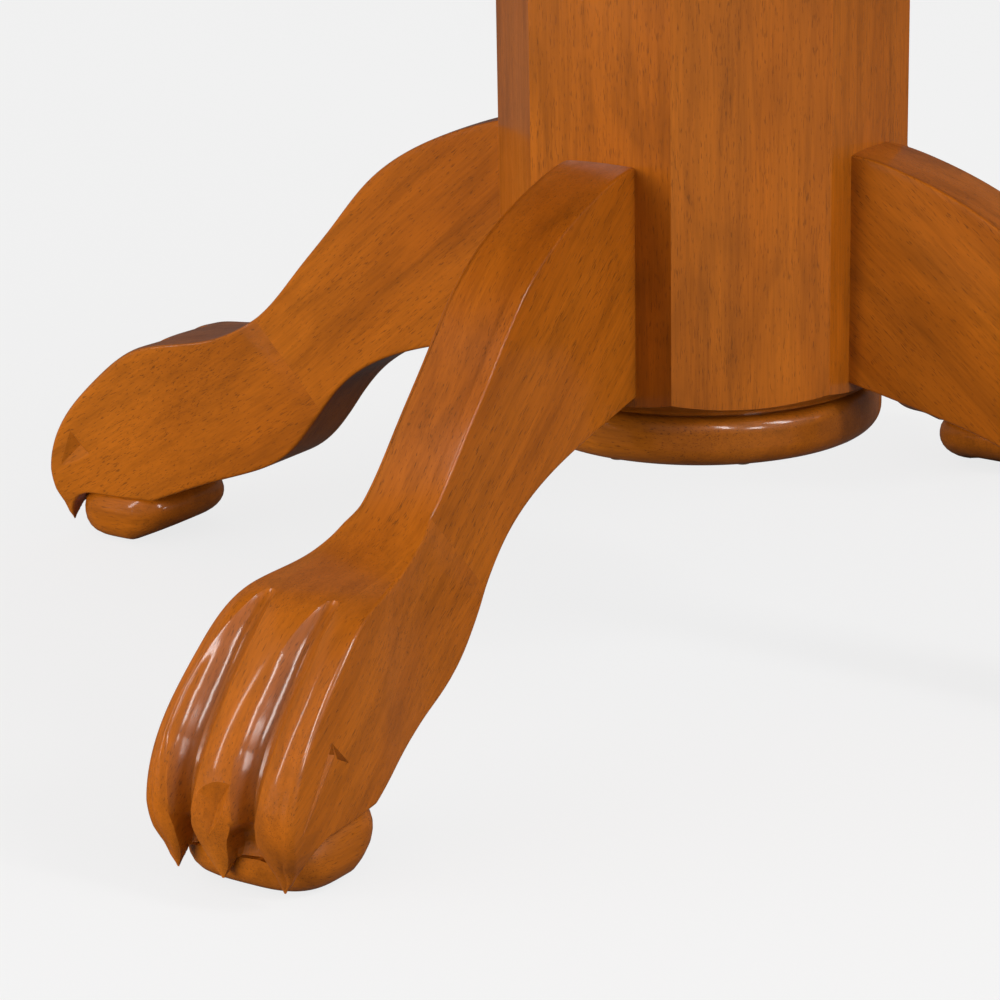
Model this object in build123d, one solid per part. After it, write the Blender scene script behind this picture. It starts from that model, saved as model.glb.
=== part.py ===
from build123d import *
import math
import os

# Round pedestal table: a glued-up round top on an eight-sided hollow column
# that stands on four curved legs with carved paw feet.
# Millimetres, +Z up, floor at Z = 0, column axis on the Z axis.

# ---- column and base ring ----
COLUMN_ACROSS_FLATS = 220.0
STAVE_COUNT = 8
STAVE_THICKNESS = 32.0
COLUMN_BOTTOM = 166.0
COLUMN_TOP = 715.0
TURNED_END_RADIUS = 104.0
TURNED_END_HEIGHT = 9.0

RING_BOTTOM = 134.0
RING_RADIUS = 106.0
RING_BORE_RADIUS = 66.0
RING_COVE_DEPTH = 5.0
RING_COVE_HEIGHT = 3.0
RING_TOP_ROUND = 8.0
RING_BOTTOM_ROUND = 12.0

# ---- top ----
TABLE_HEIGHT = 762.0
TOP_DIAMETER = 1220.0
TOP_THICKNESS = 25.0
TOP_BOARD_COUNT = 9
TOP_EDGE_STEP = 3.0
TOP_EDGE_ROUND = 14.0
TOP_UNDER_ROUND = 4.0
PLATE_DIAMETER = 460.0
PLATE_CHAMFER = 10.0

# ---- legs ----
# the side outline is drawn in (distance from the column axis, height)
LEG_THICKNESS = 45.0
LEG_BACK_BOTTOM = 176.0
LEG_BACK_TOP = 308.0
LEG_UPPER_LINE = [
    (140, 302), (187, 283.5), (222.5, 259.5), (251.5, 227.5), (279.5, 196.5), (308, 166),
    (348, 144.5), (399, 134), (436, 107.5), (468.5, 64), (472, 40),
]
CLAW_TIP = (461, 9)
CLAW_BACK = [(455, 22), (446, 30)]
PAW_SOLE_HEIGHT = 33.0
SOLE_FRONT = 434.0
SOLE_REAR = 390.0
LEG_LOWER_LINE = [(341, 52), (293.5, 73), (268, 101), (244, 129), (206.5, 151), (161, 164.5)]
# half widths of the paw at distances from the column axis
PAW_SIDE_LINE = [(262, 23.2), (300, 24.2), (326, 26), (352, 31), (380, 38), (412, 43), (440, 45), (455, 46)]
PAW_CORNER_RADIUS = 7.0
PAW_FRONT = 476.0
PAW_FRONT_BULGE = 3.0
CHEEK_SEAM_OFFSET = 150.0

# ---- carving ----
TOE_GROOVE_RADIUS = 6.0
TOE_GROOVE_LINE = [(388, 21, 143), (427, 20, 115), (453, 19, 87), (471, 17, 58), (468, 15, 15), (463, 15, 0)]
SIDE_NOTCH = [(430, 83), (416, 64), (460, 40)]
SIDE_NOTCH_DEPTH = 4.0

# ---- pads and glides under the paws ----
PAD_REAR = 379.0
PAD_FRONT = 457.0
PAD_HALF_WIDTH = 44.0
PAD_SIDE_START = 421.0
PAD_CORNER_RADIUS = 17.0
PAD_BOTTOM = 1.5
PAD_EDGE_ROUND = 8.0
PAD_HEEL_REAR = (378, 20)
PAD_HEEL_FRONT = (412, 1.5)
GLIDE_CENTRE = 430.0
GLIDE_RADIUS = 12.0
GLIDE_THICKNESS = 5.0
GLIDE_RECESS_CLEARANCE = 0.2
NAIL_RADIUS = 1.3
NAIL_HEAD_RADIUS = 3.5
NAIL_HEAD_THICKNESS = 1.2
NAIL_LENGTH = 20.0

# ---- leg bolts ----
BOLT_HEIGHTS = (214.0, 272.0)
BOLT_RADIUS = 5.0
BOLT_INNER_END = 60.0
BOLT_OUTER_END = 166.0
BOLT_HOLE_CLEARANCE = 0.3
WASHER_RADIUS = 15.0
WASHER_THICKNESS = 2.5
LOCK_WASHER_RADIUS = 8.5
LOCK_WASHER_THICKNESS = 2.4
LOCK_WASHER_GAP = 1.6
NUT_ACROSS_FLATS = 16.0
NUT_THICKNESS = 8.0

# ---- wood screws ----
SCREW_RADIUS = 2.2
SCREW_HEAD_RADIUS = 4.4
SCREW_HEAD_HEIGHT = 3.0
SCREW_LENGTH = 50.0
TOP_SCREW_LENGTH = 38.0
HOLE_CLEARANCE = 0.1
RING_SCREW_CIRCLE = 93.0
TOP_SCREW_CIRCLE = 190.0

# ---- worked-out sizes ----
APOTHEM = COLUMN_ACROSS_FLATS / 2
INNER_APOTHEM = APOTHEM - STAVE_THICKNESS
FACE_ANGLE = 360 / STAVE_COUNT
COLUMN_CORNER_RADIUS = APOTHEM / math.cos(math.radians(FACE_ANGLE / 2))
COLUMN_HEIGHT = COLUMN_TOP - COLUMN_BOTTOM
TOP_BOTTOM = TABLE_HEIGHT - TOP_THICKNESS
TOP_RADIUS = TOP_DIAMETER / 2
HALF_LEG = LEG_THICKNESS / 2
LEG_ANGLES = {"front": -90, "left": 180, "right": 0, "back": 90}
BLOCK = 2000.0


def save(name, *solids):
    """Write the separate solids of one named piece to its own STEP file."""
    shape = solids[0]
    if len(solids) > 1:
        shape = Compound(list(solids))
    shape.label = name
    export_step(shape, f"parts/{name}.step")


def only_solid(shape):
    """The one solid inside the result of a boolean step."""
    solids = shape.solids()
    assert len(solids) == 1, f"expected one solid, got {len(solids)}"
    return solids[0]


def around(shape, angle):
    """A copy of a shape turned about the column axis."""
    return Rot(0, 0, angle) * shape


def rod(radius, x_from, x_to, y, z):
    """A round bar lying along X."""
    length = x_to - x_from
    return Pos(x_from + length / 2, y, z) * Rot(0, 90, 0) * Cylinder(radius, length)


def upright(radius, z_from, z_to, x=0, y=0):
    """A round bar standing along Z."""
    height = z_to - z_from
    return Pos(x, y, z_from + height / 2) * Cylinder(radius, height)


def turned(points):
    """A solid of revolution about Z from a closed outline of (radius, height)."""
    with BuildPart() as part:
        with BuildSketch(Plane.XZ):
            with BuildLine():
                Polyline(*points, close=True)
            make_face()
        revolve(axis=Axis.Z)
    return part.part.solids()[0]


def screw(length):
    """A countersunk wood screw pointing down, its head flush with Z = 0."""
    return turned([
        (0, 0), (SCREW_HEAD_RADIUS, 0), (SCREW_RADIUS, -SCREW_HEAD_HEIGHT),
        (SCREW_RADIUS, -length + 2 * SCREW_RADIUS), (0, -length),
    ])


def screw_hole(length):
    """The pilot hole and countersink that a screw fills."""
    wide = SCREW_RADIUS + HOLE_CLEARANCE
    head = SCREW_HEAD_RADIUS + HOLE_CLEARANCE
    deep = length + 2
    return turned([
        (0, 1), (head, 1), (head, 0), (wide, -SCREW_HEAD_HEIGHT), (wide, -deep), (0, -deep),
    ])


def ring_positions(radius, count=STAVE_COUNT, first=0.0):
    """Points evenly spaced on a circle about the column axis."""
    for index in range(count):
        angle = math.radians(first + index * 360 / count)
        yield radius * math.cos(angle), radius * math.sin(angle)


# ---------------------------------------------------------------- column

def bolt_holes():
    """Clearance holes for the two leg bolts through one stave and into a leg."""
    holes = []
    for height in BOLT_HEIGHTS:
        hole = rod(BOLT_RADIUS + BOLT_HOLE_CLEARANCE, BOLT_INNER_END, BOLT_OUTER_END + 2, 0, height)
        holes.append(hole)
    return holes


def stave():
    """One mitred stave of the column, on the +X side."""
    slope = math.tan(math.radians(FACE_ANGLE / 2))
    with BuildPart() as part:
        with BuildSketch(Plane.XY.offset(COLUMN_BOTTOM)):
            with BuildLine():
                Polyline(
                    (INNER_APOTHEM, -INNER_APOTHEM * slope),
                    (APOTHEM, -APOTHEM * slope),
                    (APOTHEM, APOTHEM * slope),
                    (INNER_APOTHEM, INNER_APOTHEM * slope),
                    close=True,
                )
            make_face()
        extrude(amount=COLUMN_HEIGHT)
    return part.part.solids()[0]


def turned_end_cut():
    """Takes the corners off the bottom end of the column in a round taper."""
    low = COLUMN_BOTTOM - 1
    high = COLUMN_BOTTOM + TURNED_END_HEIGHT
    outside = COLUMN_CORNER_RADIUS + 10
    return turned([
        (TURNED_END_RADIUS, low), (outside, low), (outside, high),
        (COLUMN_CORNER_RADIUS, high), (TURNED_END_RADIUS + 3, COLUMN_BOTTOM + 2),
    ])


def make_column():
    ring_screw_hole = Rot(180, 0, 0) * screw_hole(SCREW_LENGTH)
    plate_screw_hole = screw_hole(SCREW_LENGTH)
    blank = stave() - turned_end_cut()
    blank -= Pos(RING_SCREW_CIRCLE, 0, RING_BOTTOM) * ring_screw_hole
    blank -= Pos(RING_SCREW_CIRCLE, 0, TOP_BOTTOM) * plate_screw_hole
    plain = only_solid(blank)
    bored = blank
    for hole in bolt_holes():
        bored -= hole
    bored = only_solid(bored)
    for index in range(STAVE_COUNT):
        carries_leg = index % 2 == 0
        source = bored if carries_leg else plain
        save(f"column_stave_{index + 1}", around(source, index * FACE_ANGLE))


def make_base_ring():
    """The turned ring that closes the foot of the column."""
    top = COLUMN_BOTTOM
    shoulder = top - RING_COVE_HEIGHT
    neck = RING_RADIUS - RING_COVE_DEPTH
    with BuildPart() as part:
        with BuildSketch(Plane.XZ):
            with BuildLine():
                Polyline(
                    (RING_BORE_RADIUS, RING_BOTTOM), (RING_RADIUS - RING_BOTTOM_ROUND, RING_BOTTOM),
                )
                RadiusArc(
                    (RING_RADIUS - RING_BOTTOM_ROUND, RING_BOTTOM),
                    (RING_RADIUS, RING_BOTTOM + RING_BOTTOM_ROUND),
                    -RING_BOTTOM_ROUND,
                )
                Line((RING_RADIUS, RING_BOTTOM + RING_BOTTOM_ROUND), (RING_RADIUS, shoulder - RING_TOP_ROUND))
                RadiusArc(
                    (RING_RADIUS, shoulder - RING_TOP_ROUND),
                    (RING_RADIUS - RING_TOP_ROUND, shoulder),
                    -RING_TOP_ROUND,
                )
                Polyline(
                    (RING_RADIUS - RING_TOP_ROUND, shoulder), (neck - RING_COVE_DEPTH, shoulder),
                    (neck - RING_COVE_DEPTH, top), (RING_BORE_RADIUS, top), (RING_BORE_RADIUS, RING_BOTTOM),
                )
            make_face()
        revolve(axis=Axis.Z)
    ring = part.part.solids()[0]
    hole = Rot(180, 0, 0) * screw_hole(SCREW_LENGTH)
    for x, y in ring_positions(RING_SCREW_CIRCLE):
        ring -= Pos(x, y, RING_BOTTOM) * hole
    save("base_ring", only_solid(ring))


# ---------------------------------------------------------------- top

def round_top():
    """The whole round top before it is parted into its boards."""
    step_radius = TOP_RADIUS - TOP_EDGE_STEP
    with BuildPart() as part:
        with BuildSketch(Plane.XZ):
            with BuildLine():
                Polyline((0, TABLE_HEIGHT), (0, TOP_BOTTOM), (TOP_RADIUS - TOP_UNDER_ROUND, TOP_BOTTOM))
                RadiusArc(
                    (TOP_RADIUS - TOP_UNDER_ROUND, TOP_BOTTOM),
                    (TOP_RADIUS, TOP_BOTTOM + TOP_UNDER_ROUND),
                    -TOP_UNDER_ROUND,
                )
                Polyline(
                    (TOP_RADIUS, TOP_BOTTOM + TOP_UNDER_ROUND),
                    (TOP_RADIUS, TABLE_HEIGHT - TOP_EDGE_ROUND - TOP_EDGE_STEP),
                    (step_radius, TABLE_HEIGHT - TOP_EDGE_ROUND - TOP_EDGE_STEP),
                    (step_radius, TABLE_HEIGHT - TOP_EDGE_ROUND),
                )
                RadiusArc(
                    (step_radius, TABLE_HEIGHT - TOP_EDGE_ROUND),
                    (step_radius - TOP_EDGE_ROUND, TABLE_HEIGHT),
                    -TOP_EDGE_ROUND,
                )
                Line((step_radius - TOP_EDGE_ROUND, TABLE_HEIGHT), (0, TABLE_HEIGHT))
            make_face()
        revolve(axis=Axis.Z)
    return part.part.solids()[0]


def top_screw_spots():
    """Screws into the top, turned so that none falls on a glue line."""
    return ring_positions(TOP_SCREW_CIRCLE, first=FACE_ANGLE / 4)


def make_top():
    board_width = TOP_DIAMETER / TOP_BOARD_COUNT
    whole = round_top()
    hole = Rot(180, 0, 0) * screw_hole(TOP_SCREW_LENGTH)
    for x, y in top_screw_spots():
        whole -= Pos(x, y, COLUMN_TOP) * hole
    for index in range(TOP_BOARD_COUNT):
        centre = -TOP_RADIUS + (index + 0.5) * board_width
        slab = Pos(centre, 0, TABLE_HEIGHT) * Box(board_width, BLOCK, 4 * TOP_THICKNESS)
        save(f"top_board_{index + 1}", only_solid(whole & slab))


def make_mounting_plate():
    """The round plate between the column and the top."""
    plate = upright(PLATE_DIAMETER / 2, COLUMN_TOP, TOP_BOTTOM)
    lower_edge = plate.edges().group_by(Axis.Z)[0]
    plate = chamfer(lower_edge, PLATE_CHAMFER)
    for x, y in ring_positions(RING_SCREW_CIRCLE):
        plate -= Pos(x, y, TOP_BOTTOM) * screw_hole(SCREW_LENGTH)
    for x, y in top_screw_spots():
        plate -= Pos(x, y, COLUMN_TOP) * Rot(180, 0, 0) * screw_hole(TOP_SCREW_LENGTH)
    save("mounting_plate", only_solid(plate))


# ---------------------------------------------------------------- legs

def leg_side_blank():
    """The sawn side outline of a leg, on the +X side, at full paw width."""
    back_top = (APOTHEM, LEG_BACK_TOP)
    back_bottom = (APOTHEM, LEG_BACK_BOTTOM)
    sole_front = (SOLE_FRONT, PAW_SOLE_HEIGHT)
    sole_rear = (SOLE_REAR, PAW_SOLE_HEIGHT)
    with BuildPart() as part:
        with BuildSketch(Plane.XZ):
            with BuildLine():
                Line(back_bottom, back_top)
                Spline(back_top, *LEG_UPPER_LINE, CLAW_TIP, tangents=((1, -0.05), (-0.35, -1)))
                Spline(CLAW_TIP, *CLAW_BACK, sole_front, tangents=((-0.3, 1), (-1, 0)))
                Line(sole_front, sole_rear)
                Spline(sole_rear, *LEG_LOWER_LINE, back_bottom)
            make_face()
        extrude(amount=PAW_SIDE_LINE[-1][1] + 1, both=True)
    return part.part.solids()[0]


def paw_plan():
    """What remains of the blank once its sides are shaped, seen from above."""
    start, *middle, end = PAW_SIDE_LINE
    half_width = end[1]
    corner_rear = (PAW_FRONT - PAW_FRONT_BULGE - PAW_CORNER_RADIUS, half_width)
    corner_front = (PAW_FRONT - PAW_FRONT_BULGE, half_width - PAW_CORNER_RADIUS)
    with BuildPart() as part:
        with BuildSketch(Plane.XY):
            with BuildLine():
                Line((start[0], 0), start)
                Spline(start, *middle, end, tangents=((1, 0.01), (1, 0)))
                Line(end, corner_rear)
                RadiusArc(corner_rear, corner_front, PAW_CORNER_RADIUS)
                Spline(corner_front, (PAW_FRONT, 0), tangents=((0.1, -1), (0, -1)))
                Line((PAW_FRONT, 0), (start[0], 0))
            make_face()
            mirror(about=Plane.XZ)
        extrude(amount=LEG_BACK_TOP)
    return part.part.solids()[0]


def toe_groove(side):
    """The carved channel between two toes."""
    points = [(x, side * y, z) for x, y, z in TOE_GROOVE_LINE]
    path = Spline(*points)
    with BuildPart() as part:
        with BuildSketch(Plane(origin=path @ 0, z_dir=path % 0)):
            Circle(TOE_GROOVE_RADIUS)
        sweep(path=path)
    return part.part.solids()[0]


def side_notch(side):
    """The three-cornered cut that marks the outer claw on a side of the paw."""
    outer = PAW_SIDE_LINE[-1][1]
    with BuildPart() as part:
        with BuildSketch(Plane.XZ.offset(-side * (outer - SIDE_NOTCH_DEPTH))):
            with BuildLine():
                Polyline(*SIDE_NOTCH, close=True)
            make_face()
        extrude(amount=-side * 2 * SIDE_NOTCH_DEPTH)
    return part.part.solids()[0]


def behind_seam():
    """Everything on the column side of the slanting line where a cheek begins."""
    reach = BLOCK / 2
    with BuildPart() as part:
        with BuildSketch(Plane.XZ):
            with BuildLine():
                Polyline(
                    (CHEEK_SEAM_OFFSET - reach, -reach), (CHEEK_SEAM_OFFSET + reach, reach),
                    (-reach, reach), close=True,
                )
            make_face()
        extrude(amount=reach, both=True)
    return part.part.solids()[0]


def carve(shape):
    """Cut the toe channels into one piece of the paw."""
    for side in (1, -1):
        shape -= toe_groove(side)
    return shape


def leg_core():
    """The main board of a leg, running from the column to the middle toe."""
    board = leg_side_blank() & Box(BLOCK, LEG_THICKNESS, BLOCK)
    for hole in bolt_holes():
        board -= hole
    return only_solid(carve(board))


def leg_cheek(side):
    """The block glued to one side of the core to widen the paw."""
    outside = Pos(0, side * (HALF_LEG + BLOCK / 2), 0) * Box(BLOCK, BLOCK, BLOCK)
    block = leg_side_blank() & outside & paw_plan()
    block -= behind_seam()
    block -= side_notch(side)
    return only_solid(carve(block))


def pad_side():
    """The side view of a pad, rising at its rear to clear the floor."""
    top = PAW_SOLE_HEIGHT + PAD_EDGE_ROUND
    with BuildPart() as part:
        with BuildSketch(Plane.XZ):
            with BuildLine():
                Polyline(
                    (PAD_REAR - 1, top), PAD_HEEL_REAR, PAD_HEEL_FRONT,
                    (PAD_FRONT + 1, PAD_BOTTOM), (PAD_FRONT + 1, top), close=True,
                )
            make_face()
        extrude(amount=BLOCK / 2, both=True)
    return part.part.solids()[0]


def pad():
    """The ball under a paw, with a shallow recess for the glide and its nail."""
    corner_start = PAD_FRONT - PAD_CORNER_RADIUS
    corner_end = PAD_HALF_WIDTH - PAD_CORNER_RADIUS
    with BuildPart() as part:
        with BuildSketch(Plane.XY.offset(PAD_BOTTOM)):
            with BuildLine():
                Spline((PAD_REAR, 0), (PAD_SIDE_START, PAD_HALF_WIDTH), tangents=((0, 1), (1, 0)))
                Line((PAD_SIDE_START, PAD_HALF_WIDTH), (corner_start, PAD_HALF_WIDTH))
                RadiusArc((corner_start, PAD_HALF_WIDTH), (PAD_FRONT, corner_end), PAD_CORNER_RADIUS)
                Polyline((PAD_FRONT, corner_end), (PAD_FRONT, 0), (PAD_REAR, 0))
            make_face()
            mirror(about=Plane.XZ)
        extrude(amount=PAW_SOLE_HEIGHT + PAD_EDGE_ROUND)
        fillet(part.edges().group_by(Axis.Z)[0], PAD_EDGE_ROUND)
    shape = part.part & pad_side()
    shape -= leg_side_blank()
    shape -= upright(GLIDE_RADIUS + GLIDE_RECESS_CLEARANCE, 0, GLIDE_THICKNESS, GLIDE_CENTRE)
    shape -= upright(NAIL_RADIUS + HOLE_CLEARANCE, 0, NAIL_LENGTH + 3, GLIDE_CENTRE)
    return only_solid(shape)


def glide():
    """The plastic disc a foot stands on."""
    disc = upright(GLIDE_RADIUS, 0, GLIDE_THICKNESS, GLIDE_CENTRE)
    disc = chamfer(disc.edges().group_by(Axis.Z)[0], 1)
    head = upright(NAIL_HEAD_RADIUS + HOLE_CLEARANCE, 0, 1 + NAIL_HEAD_THICKNESS, GLIDE_CENTRE)
    shank = upright(NAIL_RADIUS + HOLE_CLEARANCE, 0, GLIDE_THICKNESS, GLIDE_CENTRE)
    return only_solid(disc - head - shank)


def nail():
    """The nail that holds a glide, its head sunk in the disc."""
    head = upright(NAIL_HEAD_RADIUS, 1, 1 + NAIL_HEAD_THICKNESS, GLIDE_CENTRE)
    shank = upright(NAIL_RADIUS, 1, NAIL_LENGTH, GLIDE_CENTRE)
    return only_solid(head + shank)


def make_legs():
    core = leg_core()
    cheeks = {"left": leg_cheek(1), "right": leg_cheek(-1)}
    foot = pad()
    for name, angle in LEG_ANGLES.items():
        save(f"leg_{name}_core", around(core, angle))
        save(f"leg_{name}_pad", around(foot, angle))
        for side, cheek in cheeks.items():
            save(f"leg_{name}_cheek_{side}", around(cheek, angle))
    angles = LEG_ANGLES.values()
    save("foot_glides", *[around(glide(), angle) for angle in angles])
    save("glide_nails", *[around(nail(), angle) for angle in angles])


# ---------------------------------------------------------------- hardware

def at_bolts(piece):
    """Copies of a bolt part, drawn on the X axis, at every leg bolt."""
    copies = []
    for angle in LEG_ANGLES.values():
        for height in BOLT_HEIGHTS:
            copies.append(around(Pos(0, 0, height) * piece, angle))
    return copies


def lock_washer(x_from, x_to):
    """A split ring, open at its top."""
    ring = rod(LOCK_WASHER_RADIUS, x_from, x_to, 0, 0)
    ring -= rod(BOLT_RADIUS + BOLT_HOLE_CLEARANCE, x_from - 1, x_to + 1, 0, 0)
    slot = Pos((x_from + x_to) / 2, 0, LOCK_WASHER_RADIUS) * Box(
        WASHER_RADIUS, LOCK_WASHER_GAP, 2 * LOCK_WASHER_RADIUS
    )
    return only_solid(ring - slot)


def make_leg_hardware():
    washer_face = INNER_APOTHEM - WASHER_THICKNESS
    lock_face = washer_face - LOCK_WASHER_THICKNESS
    nut_face = lock_face - NUT_THICKNESS
    bore = rod(BOLT_RADIUS + BOLT_HOLE_CLEARANCE, nut_face - 1, INNER_APOTHEM + 1, 0, 0)
    bolt = rod(BOLT_RADIUS, BOLT_INNER_END, BOLT_OUTER_END, 0, 0)
    bolt = chamfer(bolt.edges(), 1)
    washer = only_solid(rod(WASHER_RADIUS, washer_face, INNER_APOTHEM, 0, 0) - bore)
    nut_plane = Plane(origin=(nut_face, 0, 0), z_dir=(1, 0, 0))
    with BuildPart() as nut:
        with BuildSketch(nut_plane):
            RegularPolygon(NUT_ACROSS_FLATS / 2, 6, major_radius=False)
        extrude(amount=NUT_THICKNESS)
    save("leg_bolts", *at_bolts(only_solid(bolt)))
    save("flat_washers", *at_bolts(washer))
    save("lock_washers", *at_bolts(lock_washer(lock_face, washer_face)))
    save("hex_nuts", *at_bolts(only_solid(nut.part - bore)))


def make_screws():
    up = Rot(180, 0, 0) * screw(SCREW_LENGTH)
    down = screw(SCREW_LENGTH)
    top_up = Rot(180, 0, 0) * screw(TOP_SCREW_LENGTH)
    spots = list(ring_positions(RING_SCREW_CIRCLE))
    save("ring_screws", *[Pos(x, y, RING_BOTTOM) * up for x, y in spots])
    save("plate_screws", *[Pos(x, y, TOP_BOTTOM) * down for x, y in spots])
    save("top_screws", *[Pos(x, y, COLUMN_TOP) * top_up for x, y in top_screw_spots()])


os.makedirs("parts", exist_ok=True)
make_column()
make_base_ring()
make_top()
make_mounting_plate()
make_legs()
make_leg_hardware()
make_screws()
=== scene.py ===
import math

import bmesh
import bpy
import numpy as np
from mathutils import Matrix, Vector


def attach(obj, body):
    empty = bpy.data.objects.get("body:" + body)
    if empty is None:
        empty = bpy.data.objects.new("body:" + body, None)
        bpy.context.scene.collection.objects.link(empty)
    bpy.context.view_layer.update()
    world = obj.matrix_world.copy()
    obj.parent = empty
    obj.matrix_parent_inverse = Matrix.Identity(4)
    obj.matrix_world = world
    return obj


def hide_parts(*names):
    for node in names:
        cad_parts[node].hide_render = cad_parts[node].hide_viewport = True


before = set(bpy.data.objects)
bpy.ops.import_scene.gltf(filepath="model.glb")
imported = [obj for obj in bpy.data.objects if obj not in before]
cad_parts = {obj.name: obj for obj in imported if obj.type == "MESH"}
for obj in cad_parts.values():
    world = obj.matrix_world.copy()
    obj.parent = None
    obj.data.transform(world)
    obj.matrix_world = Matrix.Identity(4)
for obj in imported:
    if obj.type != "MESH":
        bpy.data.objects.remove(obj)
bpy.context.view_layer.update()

# Lengths in this block are millimetres, in a leg's own frame: distance from
# the column axis, sideways, and height above the floor.
MM = 0.001
LEG_TURNS = {"front": -90, "left": 180, "right": 0, "back": 90}
STAVES = 8
TOP_BOARDS = 9

# ---- side view of a leg ----
UPPER_LINE = [
    (110, 308), (140, 302), (187, 283.5), (222.5, 259.5), (251.5, 227.5), (279.5, 196.5), (308, 166),
    (348, 144.5), (399, 134), (436, 107.5), (468.5, 64), (472, 40), (461, 9),
]
LOWER_LINE = [
    (110, 176), (161, 164.5), (206.5, 151), (244, 129), (268, 101), (293.5, 73), (341, 52), (390, 33),
]
SOLE_LINE = [(390, 33), (434, 33)]
CLAW_BACK_LINE = [(434, 33), (446, 30), (455, 22), (461, 9)]
# matching places on the upper and lower lines, from the column to the claws
RUNGS = [
    ((110, 308), (110, 176)), ((222.5, 259.5), (168, 163)), ((251.5, 227.5), (206.5, 151)),
    ((279.5, 196.5), (234, 137)), ((308, 166), (256, 116)), ((348, 144.5), (304, 67)),
    ((399, 134), (352, 48)), ((436, 107.5), (390, 33)), ((460, 79), (418, 33)),
    ((470, 60), (434, 33)), ((472, 40), (446, 30)), ((467, 22), (454.5, 23)), ((461, 9), (461, 9)),
]
# cross-sections are this far apart, closer together from the paw on
LEG_STATION = 3.0
PAW_STATION = 1.1
PAW_BEGINS = (352, 145)
SIDE_ROWS = 40
UNDER_ROWS = 70

# ---- thickness ----
HALF_LEG = 22.5
CHEEK_CUT = 22.62
# the glue line of a cheek runs where the distance from the axis is this much more than the height
SEAM_OFFSET = 150.0
SEAM_RISE = (-1, 22)
# distance from the axis and half the thickness of the paw
PAW_SIDE_LINE = [
    (262, 23), (300, 24.2), (326, 26), (352, 31), (380, 38), (412, 43), (440, 45), (455, 46), (480, 46),
]
# beyond this distance the paw's thickness is the average over these steps either way
FLARE_SMOOTH_FROM = 300.0
FLARE_STEPS = (-8, -4, 0, 4, 8)
# height and half the thickness over the claws
CLAW_SIDE_LINE = [(9, 34), (11, 35), (15, 38), (24, 42), (31, 44.5), (45, 46)]
CLAW_SIDE_RISE = (425, 440)
# rounding of the edges and crowning of the flats, on the leg and on the paw
LEG_ARRIS = 2.0
PAW_ARRIS = 5.5
LEG_CROWN = 0.6
PAW_CROWN = 1.3
PAW_RISE = (385, 430)

# ---- toes ----
GROOVE_BEGINS = (388, 137.5)
GROOVE_CENTRE = 19.7
# share of the way along the paw, half width and depth of each groove
GROOVE_STEPS = [
    (0.0, 1.5, 0.0), (0.012, 3.6, 1.4), (0.04, 5.2, 3.0), (0.12, 7.6, 5.2),
    (0.25, 10.6, 7.6), (0.4, 13.0, 9.4), (0.55, 13.4, 10.4), (0.7, 10.5, 10.6),
    (0.8, 7.4, 11.0), (0.88, 6.5, 12.0), (1.0, 6.5, 12.0),
]
DEEPEST_SHARE = 0.84
TOES_RISE = (0, 0.1)
GROOVE_SOFTENS = (0.08, 0.4)
# the hand-cut grooves lie to one side of the middle
TOE_SHIFT = -3.4
CLAW_SHIFT = TOE_SHIFT * 1.5
# points across each toe and each groove; neighbours share their end points
TOP_COUNTS = (9, 14, 21, 14, 9)
# the claws take shape below this height, and are cut apart beyond this distance from the axis
CLAWS_BEGIN = 46.0
CLAWS_RISE = 14.0
CLAWS_FROM = 440.0
OUTER_CLAWS_STRAIGHTEN = (48, 30)
# height, half width of the middle claw and inner edge of the outer claws
CLAW_EDGES = [
    (9, 0.6, 33), (16, 4.9, 30.2), (21, 6.7, 28.8), (28, 8.5, 27.2), (35, 10.2, 26), (46, 12.3, 26.5),
]
# sideways place and height of the arch between two claws, from the middle claw out to the outer one
MIDDLE_ARCH = [(0.2, 8.2), (4.9, 16), (6.6, 20.6), (9.5, 22.6)]
OUTER_ARCH = [(18, 23.6), (26, 22.6), (28.9, 20.6), (30.2, 16), (33.2, 8.2)]

# ---- chisel cuts ----
# outline on the surface and deepest point of the nail
NAIL = [(469.4, -11, 56.5), (467, 6.8, 63.5), (471.3, -4.7, 36)]
NAIL_DEEPEST = (466.8, -1.3, 51.5)
# how many times the outline a cutter is, so that it comes clear of the surface
CUT_REACH = 2.2
# outline, deepest place and depth of each side cut
HOLLOW = ([(433, 81), (418, 65.5), (421.5, 59), (428.5, 51), (441, 45), (461.5, 41)], (425, 69.5), 2.6)
STROKE = ([(433, 81), (426.5, 72), (461.5, 41)], (436, 76), 5.0)
LEFT_HOLLOW = ([(450.5, 74), (436.5, 60), (445, 54.5), (460, 49)], (446, 64), 3.6)

# ---- pads ----
PAD_REAR = 379.0
PAD_MIDDLE = 418.0
PAD_FRONT = 457.0
PAD_HALF_WIDTH = 44.0
PAD_BOTTOM = 1.5
PAD_TOP = 36.0
PAD_HEEL = (378, 16)
PAD_HEEL_ENDS = 412.0
# distance in from the outline at each height above the pad's own underside
PAD_PROFILE = [
    (0, 20), (0, 15), (0.4, 11), (1.6, 7.4), (3.6, 4.6), (6.6, 2.3),
    (10.5, 0.7), (15, 0), (19, 0), (24, 0.8), (29, 3), (34.5, 8),
]
# 1 makes an ellipse in plan, and less makes it squarer
PAD_FRONT_POWER = 0.6
PAD_REAR_POWER = 0.75
PAD_POINTS = 112

# ---- shading ----
LEG_CREASE = 24
PAD_CREASE = 50
# slope of the grain in each part of a leg, in degrees
GRAIN_SLOPES = {"core": 40, "cheek_left": 33, "cheek_right": 46, "pad": 0}
SEED_STEP_LEG = 3.1
SEED_STEP_PART = 7.7

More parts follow.
